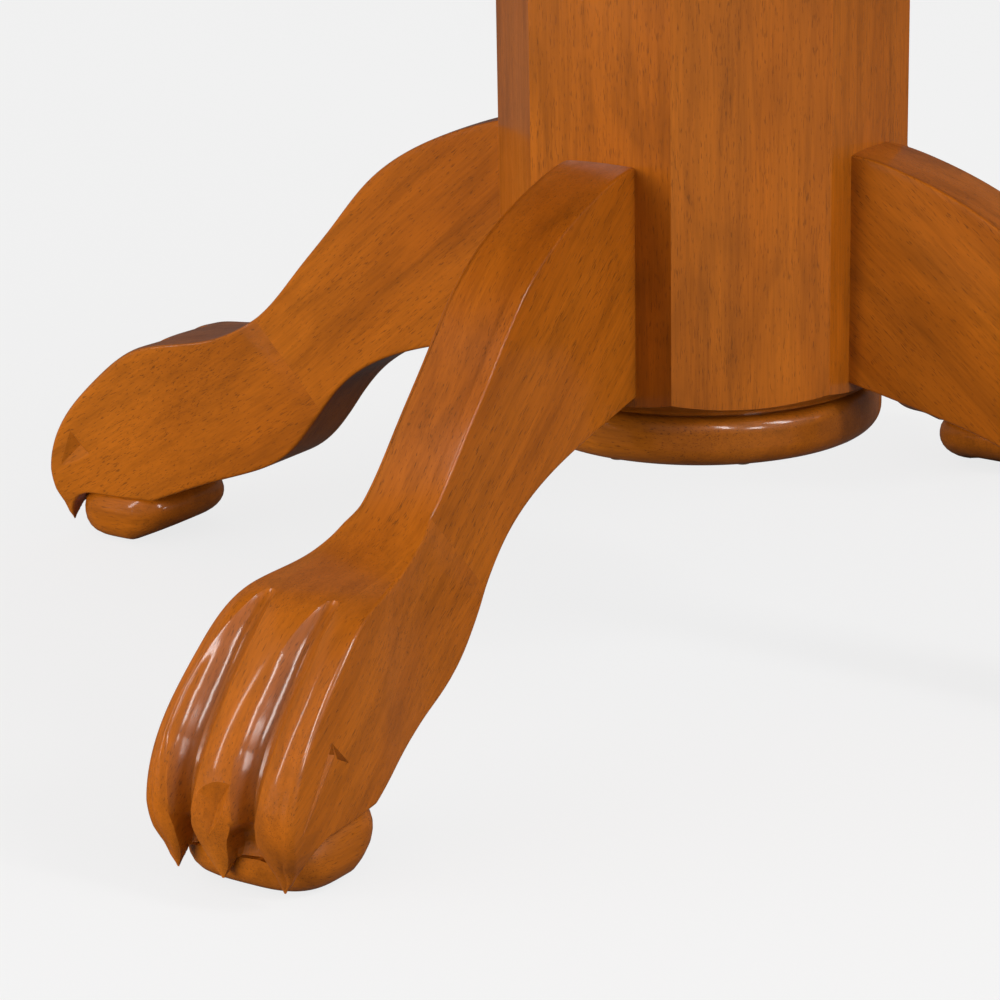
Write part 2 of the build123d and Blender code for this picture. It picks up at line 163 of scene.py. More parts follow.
# ---- studio: places in metres, powers in watts ----
# how bright the surround is to the camera, to the wood and to the lacquer
SURROUND_SEEN = 0.845
SURROUND_LIGHT = 0.57
SURROUND_MIRRORED = 0.1
FLOOR_SEEN = 0.787
FLOOR_COLOUR = 0.12
FLOOR_REACH = 14.0
PAW_PLACE = (0, -0.4, 0.1)
# name, place, target, size, power, whether the lacquer mirrors it, whether it lights the wood
LAMPS = [
    ("left_strip", (-1.25, -2.0, 1.75), PAW_PLACE, (0.26, 1.9), 20, True, False),
    ("right_strip", (1.15, -1.14, 1.44), PAW_PLACE, (0.2, 1.0), 14, True, False),
    ("side_strip", (1.6, -0.1, 1.45), (0, -0.28, 0.2), (0.3, 0.9), 17, True, True),
    ("low_strip", (1.81, -0.86, 0.82), PAW_PLACE, (0.3, 0.5), 8, True, False),
    ("low_fill", (-1.4, -2.6, 0.5), (0, 0, 0.25), (2.4, 1.0), 63, False, True),
    ("right_fill", (2.6, -0.2, 0.7), (0, -0.1, 0.2), (2.0, 1.0), 19, False, True),
]

# ---- camera: metres and degrees ----
CAMERA_AZIMUTH = 30.42
CAMERA_TURN = 3.12
CAMERA_PITCH = 17.13
CAMERA_ROLL = 0.97
CAMERA_DISTANCE = 2.0046
CAMERA_HEIGHT = 0.7007
CAMERA_SENSOR = 36.0
CAMERA_LENS = 126.67
CAMERA_SHIFT = (-0.0178, 0.0037)

# sockets of a Mix node that mixes colours
MIX_FIRST = 6
MIX_SECOND = 7
MIX_RESULT = 2


# ------------------------------------------------------------ curve helpers

def spline(points, spacing, start=None, end=None):
    """Evenly spaced points on a cubic curve through the given points."""
    points = np.array(points, float)
    gaps = np.hypot(*np.diff(points, axis=0).T)
    knots = np.concatenate([[0], np.cumsum(gaps)])
    count = len(points)
    system = np.eye(count)
    right = np.zeros((count, 2))
    for i in range(1, count - 1):
        system[i, i - 1:i + 2] = gaps[i - 1], 2 * (gaps[i - 1] + gaps[i]), gaps[i]
        slope_after = (points[i + 1] - points[i]) / gaps[i]
        slope_before = (points[i] - points[i - 1]) / gaps[i - 1]
        right[i] = 6 * (slope_after - slope_before)
    if start is not None:
        system[0, :2] = 2 * gaps[0], gaps[0]
        right[0] = 6 * ((points[1] - points[0]) / gaps[0] - unit(start))
    if end is not None:
        system[-1, -2:] = gaps[-1], 2 * gaps[-1]
        right[-1] = 6 * (unit(end) - (points[-1] - points[-2]) / gaps[-1])
    bend = np.linalg.solve(system, right)
    fine = np.linspace(0, knots[-1], 2000)
    span = np.clip(np.searchsorted(knots, fine, side="right") - 1, 0, count - 2)
    gap = gaps[span][:, None]
    ahead = (knots[span + 1] - fine)[:, None]
    behind = (fine - knots[span])[:, None]
    curve = (
        bend[span] * ahead ** 3 + bend[span + 1] * behind ** 3
    ) / (6 * gap)
    curve += (points[span] / gap - bend[span] * gap / 6) * ahead
    curve += (points[span + 1] / gap - bend[span + 1] * gap / 6) * behind
    travelled = arc_lengths(curve)
    wanted = np.linspace(0, travelled[-1], max(3, int(travelled[-1] / spacing) + 1))
    return np.stack([np.interp(wanted, travelled, curve[:, k]) for k in (0, 1)], -1)


def unit(vector):
    vector = np.array(vector, float)
    return vector / np.linalg.norm(vector)


def arc_lengths(curve):
    return np.concatenate([[0], np.cumsum(np.hypot(*np.diff(curve, axis=0).T))])


def place_on(curve, point):
    """How far along a curve its nearest place to a point lies."""
    nearest = np.argmin(np.hypot(*(curve - np.array(point)).T))
    return arc_lengths(curve)[nearest]


def at_lengths(curve, wanted):
    travelled = arc_lengths(curve)
    return np.stack([np.interp(wanted, travelled, curve[:, k]) for k in (0, 1)], -1)


def ramp(value, low, high):
    """0 below low, 1 above high, and a smooth rise between."""
    x = np.clip((value - low) / (high - low), 0, 1)
    return x * x * (3 - 2 * x)


# ------------------------------------------------------------ the carved leg

def leg_lines():
    """The upper and lower lines of a leg and the stations along them."""
    fine = 0.5
    sole_count = int((SOLE_LINE[1][0] - SOLE_LINE[0][0]) / fine)
    upper = spline(UPPER_LINE, fine, start=(1, -0.05), end=(-0.35, -1))
    lower = np.concatenate([
        spline(LOWER_LINE, fine), np.linspace(*SOLE_LINE, sole_count)[1:],
        spline(CLAW_BACK_LINE, fine, start=(1, 0), end=(0.3, -1))[1:],
    ])
    upper_marks = [place_on(upper, top) for top, bottom in RUNGS]
    lower_marks = [place_on(lower, bottom) for top, bottom in RUNGS]
    paw_mark = place_on(upper, PAW_BEGINS)
    length = arc_lengths(upper)[-1]
    stations = np.concatenate([
        np.arange(0, paw_mark, LEG_STATION), np.arange(paw_mark, length, PAW_STATION), [length],
    ])
    matched = np.interp(stations, upper_marks, lower_marks)
    return at_lengths(upper, stations), at_lengths(lower, matched), stations


def table(value, rows, column=1):
    """A value read from a table of rows, with straight lines between them."""
    rows = np.array(rows, float)
    return np.interp(value, rows[:, 0], rows[:, column])


def half_width(r, z):
    """Half the thickness of a leg at a place in its side view."""
    flare = sum(table(r + step, PAW_SIDE_LINE) for step in FLARE_STEPS) / len(FLARE_STEPS)
    flare = np.where(r > FLARE_SMOOTH_FROM, flare, table(r, PAW_SIDE_LINE))
    past_seam = ramp(r - z - SEAM_OFFSET, *SEAM_RISE)
    width = HALF_LEG + (np.maximum(flare, HALF_LEG) - HALF_LEG) * past_seam
    claw = np.minimum(width, table(z, CLAW_SIDE_LINE))
    return width + (claw - width) * ramp(r, *CLAW_SIDE_RISE)


class Section:
    """The sizes of one cross-section of a leg."""

    def __init__(self, top, bottom, normal, along):
        self.top, self.bottom, self.normal, self.along = top, bottom, normal, along
        self.thickness = max(np.linalg.norm(top - bottom), 1e-3)
        self.down = (bottom - top) / self.thickness
        self.half = float(half_width(top[0], top[1]))
        paw = ramp(top[0], *PAW_RISE)
        self.arris = min(LEG_ARRIS + (PAW_ARRIS - LEG_ARRIS) * paw, 0.45 * self.thickness)
        self.low_arris = min(LEG_ARRIS, 0.3 * self.thickness)
        self.edge = self.half - self.arris
        self.toes = float(ramp(along, *TOES_RISE))
        self.claws = float(ramp(CLAWS_BEGIN - top[1], 0, CLAWS_RISE) * (along > 0.5))
        self.crown = min(LEG_CROWN + (PAW_CROWN - LEG_CROWN) * paw, 0.2 * self.thickness)
        reach = table(along, GROOVE_STEPS, 1)
        self.depth = min(table(along, GROOVE_STEPS, 2) * (along > 0), DEEPEST_SHARE * self.thickness)
        self.inner = GROOVE_CENTRE - min(reach, GROOVE_CENTRE - 2)
        self.outer = min(GROOVE_CENTRE + reach, self.edge - 4)
        self.inner += (table(top[1], CLAW_EDGES, 1) - self.inner) * self.claws
        self.outer += (table(top[1], CLAW_EDGES, 2) - self.outer) * self.claws
        self.outer = min(self.outer, self.edge - 0.3)
        self.shift = TOE_SHIFT + (CLAW_SHIFT - TOE_SHIFT) * self.claws
        straight_below, straight_over = OUTER_CLAWS_STRAIGHTEN
        self.outer_shift = TOE_SHIFT * (1 - ramp(straight_below - top[1], 0, straight_over))
        self.breaks = [
            -self.edge, -self.outer + self.outer_shift, -self.inner + self.shift,
            self.inner + self.shift, self.outer + self.outer_shift, self.edge,
        ]
        self.breaks[1] = max(self.breaks[1], -self.edge + 0.2)

    def groove(self, x):
        """The shape across a groove, 1 at its floor and 0 at its lips."""
        x = np.clip(np.abs(x), 0, 1)
        gouge = 1 - x ** 2
        soft = ((1 + np.cos(math.pi * x)) / 2) ** 1.1
        steep = 1 - x ** 6
        smooth = ramp(self.along, *GROOVE_SOFTENS)
        shape = gouge + (soft - gouge) * smooth
        return shape + (steep - shape) * self.claws

    def top_row(self):
        """Sideways places across the top, how far each is sunk, and how much of that is carved."""
        pieces, drops, cuts = [], [], []
        for index, count in enumerate(TOP_COUNTS):
            low, high = self.breaks[index], self.breaks[index + 1]
            x = np.linspace(-1, 1, count)
            t = low + (high - low) * (x + 1) / 2
            cut = self.depth * self.groove(x) if index in (1, 3) else np.zeros(count)
            toe = self.crown * (np.ones(count) if index in (1, 3) else x ** 2)
            whole = self.crown * (t / self.edge) ** 2
            drop = whole + (toe - whole) * self.toes + cut
            keep = slice(0 if index == 0 else 1, None)
            pieces.append(t[keep])
            drops.append(drop[keep])
            cuts.append(cut[keep])
        return np.concatenate(pieces), np.concatenate(drops), np.concatenate(cuts)

    def side(self, rows):
        """Places down one side, from the rounded top arris to the rounded lower one."""
        turn = np.linspace(0, math.pi / 2, 7)
        high_depth = self.arris * (1 - np.cos(turn[1:-1]))
        high_inset = self.arris * (1 - np.sin(turn[1:-1]))
        high_depth = high_depth + self.crown * (1 - high_depth / self.arris)
        depths = np.linspace(self.arris, self.thickness - self.low_arris, rows)
        low_depth = self.thickness - self.low_arris * (1 - np.sin(turn[1:]))
        low_inset = self.low_arris * (1 - np.cos(turn[1:]))
        place = self.top + np.outer(np.concatenate([high_depth, depths, low_depth]), self.down)
        inset = np.concatenate([high_inset, np.zeros(rows), low_inset])
        return place, half_width(place[:, 0], place[:, 1]) - inset

    def loop(self, rows, under):
        """The whole closed cross-section, and how deep each of its points is carved."""
        t, drop, cut = self.top_row()
        flat = self.top + np.outer(drop, -self.normal)
        place, width = self.side(rows)
        across = np.linspace(width[-1], -width[-1], under + 2)[1:-1]
        parts = [
            np.column_stack([flat[:, 0], t, flat[:, 1]]),
            np.column_stack([place[:, 0], width, place[:, 1]]),
            np.column_stack([np.full(under, self.bottom[0]), across, np.full(under, self.bottom[1])]),
            np.column_stack([place[::-1, 0], -width[::-1], place[::-1, 1]]),
        ]
        carved = np.concatenate([cut, np.zeros(2 * len(place) + under)])
        return np.concatenate(parts), carved


def open_claws(points):
    """The points of a cross-section, with those below the arches between the claws lifted up to them."""
    for side in (1, -1):
        middle = [(side * t + CLAW_SHIFT, z) for t, z in MIDDLE_ARCH]
        outer = [(side * t, z) for t, z in OUTER_ARCH]
        t, z = np.array(sorted(middle + outer)).T
        roof = np.interp(points[:, 1], t, z, left=0, right=0)
        points[:, 2] = np.where(points[:, 0] > CLAWS_FROM, np.maximum(points[:, 2], roof), points[:, 2])
    return points


def leg_surface():
    """Points and carved depths of a whole leg, one closed loop for each station."""
    upper, lower, stations = leg_lines()
    tangents = np.gradient(upper, axis=0)
    tangents /= np.linalg.norm(tangents, axis=1)[:, None]
    normals = np.column_stack([-tangents[:, 1], tangents[:, 0]])
    begin = place_on(upper, GROOVE_BEGINS)
    along = (stations - begin) / (stations[-1] - begin)
    loops = [Section(*row).loop(SIDE_ROWS, UNDER_ROWS) for row in zip(upper, lower, normals, along)]
    sections = np.array([open_claws(points) for points, carved in loops])
    return sections, np.array([carved for points, carved in loops])


def zipped_end(t, top_count):
    """Triangles that close a thin cross-section, joining its top row to the rest of it."""
    top = list(range(top_count))
    rest = [0, *range(len(t) - 1, top_count - 2, -1)]
    triangles = []
    i = j = 0
    while i < len(top) - 1 or j < len(rest) - 1:
        rest_ended = j == len(rest) - 1
        if rest_ended or (i < len(top) - 1 and t[top[i + 1]] < t[rest[j + 1]]):
            triangle = (top[i], top[i + 1], rest[j])
            i += 1
        else:
            triangle = (top[i], rest[j + 1], rest[j])
            j += 1
        if len(set(triangle)) == 3:
            triangles.append(triangle)
    return triangles


def grid_mesh(name, sections, carved, top_count=0):
    """A closed mesh from a stack of cross-sections; top_count is given if the last is too thin to fill."""
    count, around = sections.shape[:2]
    points = sections.reshape(-1, 3) * MM
    faces = []
    for i in range(count - 1):
        for j in range(around):
            k = (j + 1) % around
            faces.append((i * around + j, i * around + k, (i + 1) * around + k, (i + 1) * around + j))
    faces.append(tuple(range(around - 1, -1, -1)))
    last = (count - 1) * around
    if top_count:
        triangles = zipped_end(sections[-1, :, 1], top_count)
        faces += [tuple(last + k for k in triangle) for triangle in triangles]
    else:
        faces.append(tuple(range(last, last + around)))
    mesh = bpy.data.meshes.new(name)
    mesh.from_pydata(points.tolist(), [], faces)
    # carve depth of each point; the wood material darkens the carving by it, with stain glaze and painted
    # shade
    layer = mesh.attributes.new("recess", "FLOAT", "POINT")
    layer.data.foreach_set("value", carved.reshape(-1).astype(np.float32))
    work = bmesh.new()
    work.from_mesh(mesh)
    bmesh.ops.recalc_face_normals(work, faces=work.faces[:])
    work.to_mesh(mesh)
    work.free()
    return mesh


# ------------------------------------------------------------ chisel cuts

def pyramid(outline, deepest, reach):
    """A cutter whose faces pass through an outline and meet at its deepest point."""
    deepest = np.array(deepest, float)
    outer = [deepest + (np.array(corner, float) - deepest) * reach for corner in outline]
    points = [deepest, *outer]
    count = len(outline)
    faces = [(0, k + 1, (k + 1) % count + 1) for k in range(count)]
    faces.append(tuple(range(count, 0, -1)))
    return points, faces


def side_cuts(outline, deepest, depth):
    """The same cut on both sides of a paw."""
    solids = []
    for side in (1, -1):
        place = (deepest[0], side * (float(half_width(*deepest)) - depth), deepest[1])
        corners = [(r, side * float(half_width(r, z)), z) for r, z in outline]
        solids.append(pyramid(corners, place, CUT_REACH))
    return solids


def cutter_mesh(solids):
    """Several closed cutters as one mesh."""
    work = bmesh.new()
    for points, faces in solids:
        made = [work.verts.new(Vector(point) * MM) for point in points]
        for face in faces:
            work.faces.new([made[index] for index in face])
    bmesh.ops.recalc_face_normals(work, faces=work.faces[:])
    mesh = bpy.data.meshes.new("cutter")
    work.to_mesh(mesh)
    work.free()
    return mesh


def carve(mesh, cutter):
    """The mesh with the cutter taken out of it."""
    scene = bpy.context.scene
    blank = bpy.data.objects.new("blank", mesh)
    tool = bpy.data.objects.new("tool", cutter)
    for thing in (blank, tool):
        scene.collection.objects.link(thing)
    cut = blank.modifiers.new("cut", "BOOLEAN")
    cut.operation = "DIFFERENCE"
    cut.solver = "EXACT"
    cut.object = tool
    made = bpy.data.meshes.new_from_object(blank.evaluated_get(bpy.context.evaluated_depsgraph_get()))
    for thing in (blank, tool):
        bpy.data.objects.remove(thing)
    return made


def sharpen(mesh, degrees):
    """Smooth shading that keeps edges sharper than an angle crisp."""
    work = bmesh.new()
    work.from_mesh(mesh)
    for face in work.faces:
        face.smooth = True
    for edge in work.edges:
        if len(edge.link_faces) == 2:
            edge.smooth = edge.calc_face_angle() < math.radians(degrees)
    work.to_mesh(mesh)
    work.free()


def cut_mesh(mesh, name, planes):
    """The part of a closed mesh behind each plane, closed again."""
    work = bmesh.new()
    work.from_mesh(mesh)
    for place, normal in planes:
        geometry = work.verts[:] + work.edges[:] + work.faces[:]
        cut = bmesh.ops.bisect_plane(
            work, geom=geometry, plane_co=place, plane_no=normal, clear_outer=True, dist=1e-7,
        )
        edges = [item for item in cut["geom_cut"] if isinstance(item, bmesh.types.BMEdge)]
        bmesh.ops.triangle_fill(work, edges=edges, use_beauty=True)
    bmesh.ops.recalc_face_normals(work, faces=work.faces[:])
    made = bpy.data.meshes.new(name)
    work.to_mesh(made)
    work.free()
    return made


def add_piece(name, mesh, material, replaced, turn=0.0):
    """Puts a mesh in the scene in place of a CAD node."""
    piece = bpy.data.objects.new(name, mesh)
    bpy.context.scene.collection.objects.link(piece)
    piece.rotation_euler.z = math.radians(turn)
    mesh.materials.clear()
    mesh.materials.append(material)
    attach(piece, "root")
    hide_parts(replaced)
    return piece


# ------------------------------------------------------------ pads

def pad_mesh():
    """The ball under a paw: swollen sides, rounded below, its rear lifted off the floor."""
    turn = np.linspace(0, 2 * math.pi, PAD_POINTS, endpoint=False)
    c, s = np.cos(turn), np.sin(turn)
    power = np.where(c > 0, PAD_FRONT_POWER, PAD_REAR_POWER)
    reach = np.where(c > 0, PAD_FRONT - PAD_MIDDLE, PAD_MIDDLE - PAD_REAR)
    out_r = np.sign(c) * np.abs(c) ** power
    out_t = np.sign(s) * np.abs(s) ** power
    sections = []
    for above, inset in PAD_PROFILE:
        r = PAD_MIDDLE + out_r * (reach - inset)
        t = out_t * (PAD_HALF_WIDTH - inset)
        lift = (PAD_HEEL[1] - PAD_BOTTOM) * np.clip((PAD_HEEL_ENDS - r) / (PAD_HEEL_ENDS - PAD_HEEL[0]), 0, 1)
        bottom = PAD_BOTTOM + lift
        share = above / (PAD_TOP - PAD_BOTTOM)
        sections.append(np.column_stack([r, t, bottom + (PAD_TOP - bottom) * share]))
    sections = np.array(sections)[:, ::-1]
    return grid_mesh("pad_shape", sections, np.zeros(sections.shape[:2]))


# ------------------------------------------------------------ materials

def new_material(name):
    material = bpy.data.materials.new(name)
    material.use_nodes = True
    nodes = material.node_tree.nodes
    shader = nodes["Principled BSDF"]
    return material, nodes, material.node_tree.links, shader


def node(nodes, kind, **settings):
    made = nodes.new(kind)
    for key, value in settings.items():
        setattr(made, key, value)
    return made


def noise(nodes, links, vector, scale, detail=3.0, roughness=0.5, distortion=0.0):
    made = node(nodes, "ShaderNodeTexNoise")
    made.inputs["Scale"].default_value = scale
    made.inputs["Detail"].default_value = detail
    made.inputs["Roughness"].default_value = roughness
    made.inputs["Distortion"].default_value = distortion
    links.new(vector, made.inputs["Vector"])
    return made.outputs["Fac"]


def levels(nodes, links, value, stops):
    """A grey ramp from (position, brightness) stops."""
    made = node(nodes, "ShaderNodeValToRGB")
    elements = made.color_ramp.elements
    while len(elements) < len(stops):
        elements.new(0.5)
    for element, (place, grey) in zip(elements, stops):
        element.position = place
        element.color = (grey, grey, grey, 1)
    links.new(value, made.inputs["Fac"])
    return made.outputs["Color"]


def mix(nodes, links, factor, first, second, blend="MIX"):
    """Mixes two colours; each may be a socket or a plain colour."""
    made = node(nodes, "ShaderNodeMix", data_type="RGBA", blend_type=blend)
    sockets = [made.inputs["Factor"], made.inputs[MIX_FIRST], made.inputs[MIX_SECOND]]
    for socket, value in zip(sockets, (factor, first, second)):
        if isinstance(value, bpy.types.NodeSocket):
            links.new(value, socket)
        elif isinstance(value, (tuple, list)):
            socket.default_value = (*value, 1)
        else:
            socket.default_value = value
    return made.outputs[MIX_RESULT]


def math_node(nodes, links, operation, first, second):
    made = node(nodes, "ShaderNodeMath", operation=operation)
    for socket, value in zip(made.inputs, (first, second)):
        if isinstance(value, bpy.types.NodeSocket):
            links.new(value, socket)
        else:
            socket.default_value = value
    return made.outputs[0]


def stained_wood(
    name, grain_turn, seed, light=(0.51, 0.139, 0.0075), dark=(0.39, 0.094, 0.0035),
    pores=1.0, coat=0.6, roughness=0.42, bright=1.0,
):
    """Golden stained wood: long grain along the turned X axis, pores, figure and satin lacquer."""
    material, nodes, links, shader = new_material(name)
    where = node(nodes, "ShaderNodeTexCoord").outputs["Object"]
    turned = node(nodes, "ShaderNodeVectorRotate", rotation_type="EULER_XYZ")
    turned.inputs["Rotation"].default_value = grain_turn
    links.new(where, turned.inputs["Vector"])
    shift = node(nodes, "ShaderNodeVectorMath", operation="ADD")
    shift.inputs[1].default_value = (seed * 1.37, seed * 0.73, seed * 0.41)
    links.new(turned.outputs[0], shift.inputs[0])

    def stretched(along, across):
        made = node(nodes, "ShaderNodeVectorMath", operation="MULTIPLY")
        made.inputs[1].default_value = (along, across, across)
        links.new(shift.outputs[0], made.inputs[0])
        return made.outputs[0]

    broad = noise(nodes, links, stretched(2.2, 9.0), 1.0, 3.0, 0.55, 0.6)
    figure = noise(nodes, links, stretched(5.0, 60.0), 1.0, 4.0, 0.6, 0.8)
    fibre = noise(nodes, links, stretched(28.0, 620.0), 1.0, 2.0, 0.6, 0.1)
    fleck = noise(nodes, links, stretched(170.0, 1550.0), 1.0, 1.0, 0.5, 0.0)
    mottle = noise(nodes, links, stretched(9.0, 26.0), 1.0, 3.0, 0.6, 1.2)
    cluster = noise(nodes, links, stretched(14.0, 55.0), 1.0, 2.0, 0.5, 0.3)

    tone = mix(nodes, links, levels(nodes, links, broad, [(0.3, 0), (0.7, 1)]), dark, light)
    figure_grey = levels(nodes, links, figure, [(0.32, 0.80), (0.5, 0.98), (0.68, 1.07)])
    tone = mix(nodes, links, 0.9, tone, figure_grey, "MULTIPLY")
    mottle_grey = levels(nodes, links, mottle, [(0.34, 0.84), (0.5, 1.0), (0.7, 1.04)])
    tone = mix(nodes, links, 0.9, tone, mottle_grey, "MULTIPLY")
    fibre_grey = levels(nodes, links, fibre, [(0.3, 0.82), (0.55, 1.02), (0.75, 1.10)])
    tone = mix(nodes, links, 0.8, tone, fibre_grey, "MULTIPLY")

    threshold = math_node(nodes, links, "MULTIPLY_ADD", cluster, -0.16)
    threshold.node.inputs[2].default_value = 0.70
    pore = math_node(nodes, links, "SUBTRACT", fleck, threshold)
    pore = levels(nodes, links, math_node(nodes, links, "MULTIPLY", pore, 14.0), [(0.0, 0), (1.0, 1)])
    pore_amount = math_node(nodes, links, "MULTIPLY", pore, 0.55 * pores)
    tone = mix(nodes, links, pore_amount, tone, (0.085, 0.026, 0.004))

    # Carved places are darkened by how deep they are cut: partly stain glaze pooled in the carving, partly
    # painted shade where the grooves and claw gaps fall into shadow.
    recess = node(nodes, "ShaderNodeAttribute", attribute_name="recess")
    glaze_and_shade = math_node(nodes, links, "MULTIPLY", recess.outputs["Fac"], 0.04)
    glaze_and_shade = levels(nodes, links, glaze_and_shade, [(0.0, 0), (0.5, 0.35)])
    tone = mix(nodes, links, glaze_and_shade, tone, (0.09, 0.030, 0.008))
    if bright != 1.0:
        tone = mix(nodes, links, 1.0, tone, (bright, bright, bright), "MULTIPLY")
    links.new(tone, shader.inputs["Base Color"])

    gloss = levels(nodes, links, figure, [(0.3, roughness + 0.05), (0.7, roughness - 0.04)])
    links.new(gloss, shader.inputs["Roughness"])
    height = math_node(nodes, links, "MULTIPLY", fibre, 0.25)
    height = math_node(nodes, links, "SUBTRACT", height, pore)
    bump = node(nodes, "ShaderNodeBump")
    bump.inputs["Strength"].default_value = 0.22
    bump.inputs["Distance"].default_value = 0.0004
    links.new(height, bump.inputs["Height"])
    links.new(bump.outputs[0], shader.inputs["Normal"])
    shader.inputs["Coat Weight"].default_value = coat
    shader.inputs["Coat Roughness"].default_value = 0.13
    shader.inputs["Coat IOR"].default_value = 1.5
    shader.inputs["Specular IOR Level"].default_value = 0.12
    return material


def metal(name, colour, roughness):
    """Zinc-plated steel with a faint brushed grain and duller patches."""
    material, nodes, links, shader = new_material(name)
    where = node(nodes, "ShaderNodeTexCoord").outputs["Object"]
    patches = noise(nodes, links, where, 180.0, 3.0, 0.6)
    fine = noise(nodes, links, where, 2200.0, 2.0, 0.6)
    tone = mix(
        nodes, links, levels(nodes, links, patches, [(0.35, 0.82), (0.65, 1.0)]), (0, 0, 0), colour,
    )
    links.new(tone, shader.inputs["Base Color"])
    gloss = levels(nodes, links, fine, [(0.3, roughness - 0.08), (0.7, roughness + 0.1)])
    links.new(gloss, shader.inputs["Roughness"])
    bump = node(nodes, "ShaderNodeBump")
    bump.inputs["Strength"].default_value = 0.15
    bump.inputs["Distance"].default_value = 0.0001
    links.new(fine, bump.inputs["Height"])
    links.new(bump.outputs[0], shader.inputs["Normal"])
    shader.inputs["Metallic"].default_value = 1.0
    return material


def plastic(name, colour):
    """Moulded nylon with a faint grain and scuffing."""
    material, nodes, links, shader = new_material(name)
    where = node(nodes, "ShaderNodeTexCoord").outputs["Object"]
    grain = noise(nodes, links, where, 900.0, 3.0, 0.6)
    scuff = noise(nodes, links, where, 70.0, 4.0, 0.7)
    pale = tuple(min(1.0, c * 1.7 + 0.02) for c in colour)
    scuffed = levels(nodes, links, scuff, [(0.45, 0), (0.75, 0.5)])
    links.new(mix(nodes, links, scuffed, colour, pale), shader.inputs["Base Color"])
    links.new(levels(nodes, links, grain, [(0.3, 0.42), (0.7, 0.62)]), shader.inputs["Roughness"])
    bump = node(nodes, "ShaderNodeBump")
    bump.inputs["Strength"].default_value = 0.2
    bump.inputs["Distance"].default_value = 0.0002
    links.new(grain, bump.inputs["Height"])
    links.new(bump.outputs[0], shader.inputs["Normal"])
    return material


# ------------------------------------------------------------ pieces

def paint(node_name, material):
    """Gives a CAD node its finished material."""
    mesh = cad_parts[node_name].data
    for index in range(len(mesh.materials)):
        mesh.materials[index] = material
    if not mesh.materials:
        mesh.materials.append(material)


def make_legs():
    sections, carved = leg_surface()
    top_count = sum(TOP_COUNTS) - len(TOP_COUNTS) + 1
    blank = grid_mesh("leg_shape", sections, carved, top_count)
    nail = pyramid(NAIL, NAIL_DEEPEST, CUT_REACH)
    cut = CHEEK_CUT * MM
    pad = pad_mesh()
    sharpen(pad, PAD_CREASE)
    usual = carve(blank, cutter_mesh([nail, *side_cuts(*HOLLOW)]))
    usual = carve(usual, cutter_mesh(side_cuts(*STROKE)))
    other = carve(blank, cutter_mesh([nail, *side_cuts(*LEFT_HOLLOW)]))
    for leg_index, (leg, turn) in enumerate(LEG_TURNS.items()):
        whole = other if leg == "left" else usual
        shapes = {
            "core": cut_mesh(whole, "core", [((0, cut, 0), (0, 1, 0)), ((0, -cut, 0), (0, -1, 0))]),
            "cheek_left": cut_mesh(whole, "cheek_left", [((0, cut, 0), (0, -1, 0))]),
            "cheek_right": cut_mesh(whole, "cheek_right", [((0, -cut, 0), (0, 1, 0))]),
        }
        for shape in shapes.values():
            sharpen(shape, LEG_CREASE)
        shapes["pad"] = pad.copy()
        for part_index, (part, shape) in enumerate(shapes.items()):
            seed = SEED_STEP_LEG * leg_index + SEED_STEP_PART * part_index + 1
            wood = stained_wood(f"wood_{leg}_{part}", (0, math.radians(-GRAIN_SLOPES[part]), 0), seed)
            add_piece(f"{leg}_leg_{part}_carved", shape, wood, f"leg_{leg}_{part}", turn)


def make_column():
    upright = (0, math.radians(90), 0)
    for index in range(STAVES):
        wood = stained_wood(f"wood_stave_{index + 1}", upright, 2.3 * index + 0.7, pores=0.8)
        paint(f"column_stave_{index + 1}", wood)
    paint("base_ring", stained_wood("wood_ring", (0, 0, 0), 5.5, bright=0.8))


def make_top():
    along_boards = (0, 0, math.radians(90))
    for index in range(TOP_BOARDS):
        wood = stained_wood(f"wood_top_{index + 1}", along_boards, 1.9 * index + 0.3)
        paint(f"top_board_{index + 1}", wood)
    paint("mounting_plate", stained_wood("wood_plate", (0, 0, 0), 8.2, coat=0.1, roughness=0.55))


def make_hardware():
    zinc = metal("zinc_plate", (0.62, 0.63, 0.64), 0.34)
    yellow = metal("yellow_zinc_plate", (0.68, 0.56, 0.30), 0.36)
    for name in ("leg_bolts", "flat_washers", "lock_washers", "hex_nuts"):
        paint(name, zinc)
    for name in ("ring_screws", "plate_screws", "top_screws", "glide_nails"):
        paint(name, yellow)
    paint("foot_glides", plastic("brown_nylon", (0.10, 0.055, 0.03)))


# ------------------------------------------------------------ the studio

def area_light(name, place, target, size, power, mirrored, lights):
    """A rectangular lamp, which may only be mirrored in the lacquer or only light the wood."""
    data = bpy.data.lights.new(name, "AREA")
    data.shape = "RECTANGLE"
    data.size, data.size_y = size
    data.energy = power
    light = bpy.data.objects.new(name, data)
    bpy.context.scene.collection.objects.link(light)
    light.visible_glossy = mirrored
    light.visible_diffuse = lights
    light.location = place
    light.rotation_euler = (Vector(target) - Vector(place)).to_track_quat("-Z", "Y").to_euler()


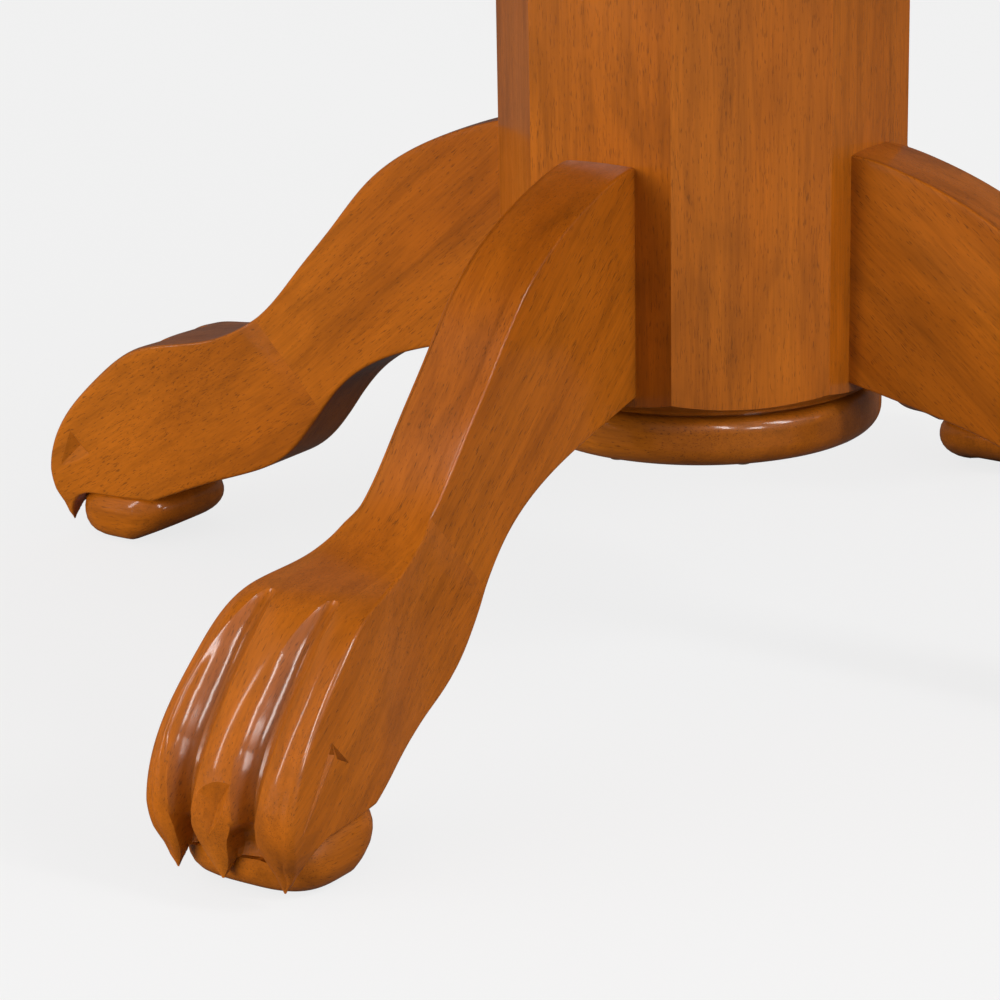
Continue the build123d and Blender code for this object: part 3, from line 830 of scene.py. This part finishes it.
def make_studio():
    """A pale paper floor, an even pale surround and the lamps."""
    scene = bpy.context.scene
    scene.view_settings.view_transform = "Standard"
    world = bpy.data.worlds.new("studio")
    scene.world = world
    world.use_nodes = True
    nodes, links = world.node_tree.nodes, world.node_tree.links
    ray = node(nodes, "ShaderNodeLightPath")
    seen = math_node(nodes, links, "MULTIPLY", ray.outputs["Is Camera Ray"], SURROUND_SEEN)
    spread = math_node(nodes, links, "MULTIPLY", ray.outputs["Is Diffuse Ray"], SURROUND_LIGHT)
    both = math_node(nodes, links, "ADD", seen, spread)
    strength = math_node(nodes, links, "ADD", both, SURROUND_MIRRORED)
    background = nodes["Background"]
    background.inputs["Color"].default_value = (1, 1, 1, 1)
    links.new(strength, background.inputs["Strength"])

    floor_mesh = bpy.data.meshes.new("floor")
    corners = [(x * FLOOR_REACH, y * FLOOR_REACH, 0) for x, y in ((-1, -1), (1, -1), (1, 1), (-1, 1))]
    floor_mesh.from_pydata(corners, [], [(0, 1, 2, 3)])
    floor = bpy.data.objects.new("floor", floor_mesh)
    scene.collection.objects.link(floor)
    material, nodes, links, shader = new_material("floor_paper")
    shader.inputs["Base Color"].default_value = (FLOOR_COLOUR, FLOOR_COLOUR, FLOOR_COLOUR, 1)
    shader.inputs["Roughness"].default_value = 0.9
    shader.inputs["Specular IOR Level"].default_value = 0.0
    shader.inputs["Emission Color"].default_value = (1, 1, 1, 1)
    ray = node(nodes, "ShaderNodeLightPath")
    glow = math_node(nodes, links, "MULTIPLY", ray.outputs["Is Camera Ray"], FLOOR_SEEN)
    links.new(glow, shader.inputs["Emission Strength"])
    floor_mesh.materials.append(material)

    for lamp in LAMPS:
        area_light(*lamp)


def make_camera():
    """The camera of the photograph: 2 m from the column, just below the height of the top."""
    azimuth = math.radians(CAMERA_AZIMUTH)
    turn = azimuth + math.radians(CAMERA_TURN)
    pitch = math.radians(CAMERA_PITCH)
    roll = math.radians(CAMERA_ROLL)
    data = bpy.data.cameras.new("camera")
    data.sensor_width = CAMERA_SENSOR
    data.lens = CAMERA_LENS
    data.shift_x, data.shift_y = CAMERA_SHIFT
    data.clip_start = 0.05
    data.clip_end = 100
    ahead = math.cos(pitch)
    forward = Vector((-math.sin(turn) * ahead, math.cos(turn) * ahead, -math.sin(pitch)))
    level = forward.cross(Vector((0, 0, 1))).normalized()
    plumb = forward.cross(level)
    right = level * math.cos(roll) + plumb * math.sin(roll)
    down = plumb * math.cos(roll) - level * math.sin(roll)
    turned = Matrix((right, -down, -forward)).transposed().to_4x4()
    out_x = math.sin(azimuth) * CAMERA_DISTANCE
    out_y = -math.cos(azimuth) * CAMERA_DISTANCE
    place = Vector((out_x, out_y, CAMERA_HEIGHT))
    camera = bpy.data.objects.new("camera", data)
    bpy.context.scene.collection.objects.link(camera)
    camera.matrix_world = Matrix.Translation(place) @ turned
    bpy.context.scene.camera = camera


make_legs()
make_column()
make_top()
make_hardware()
make_studio()
make_camera()
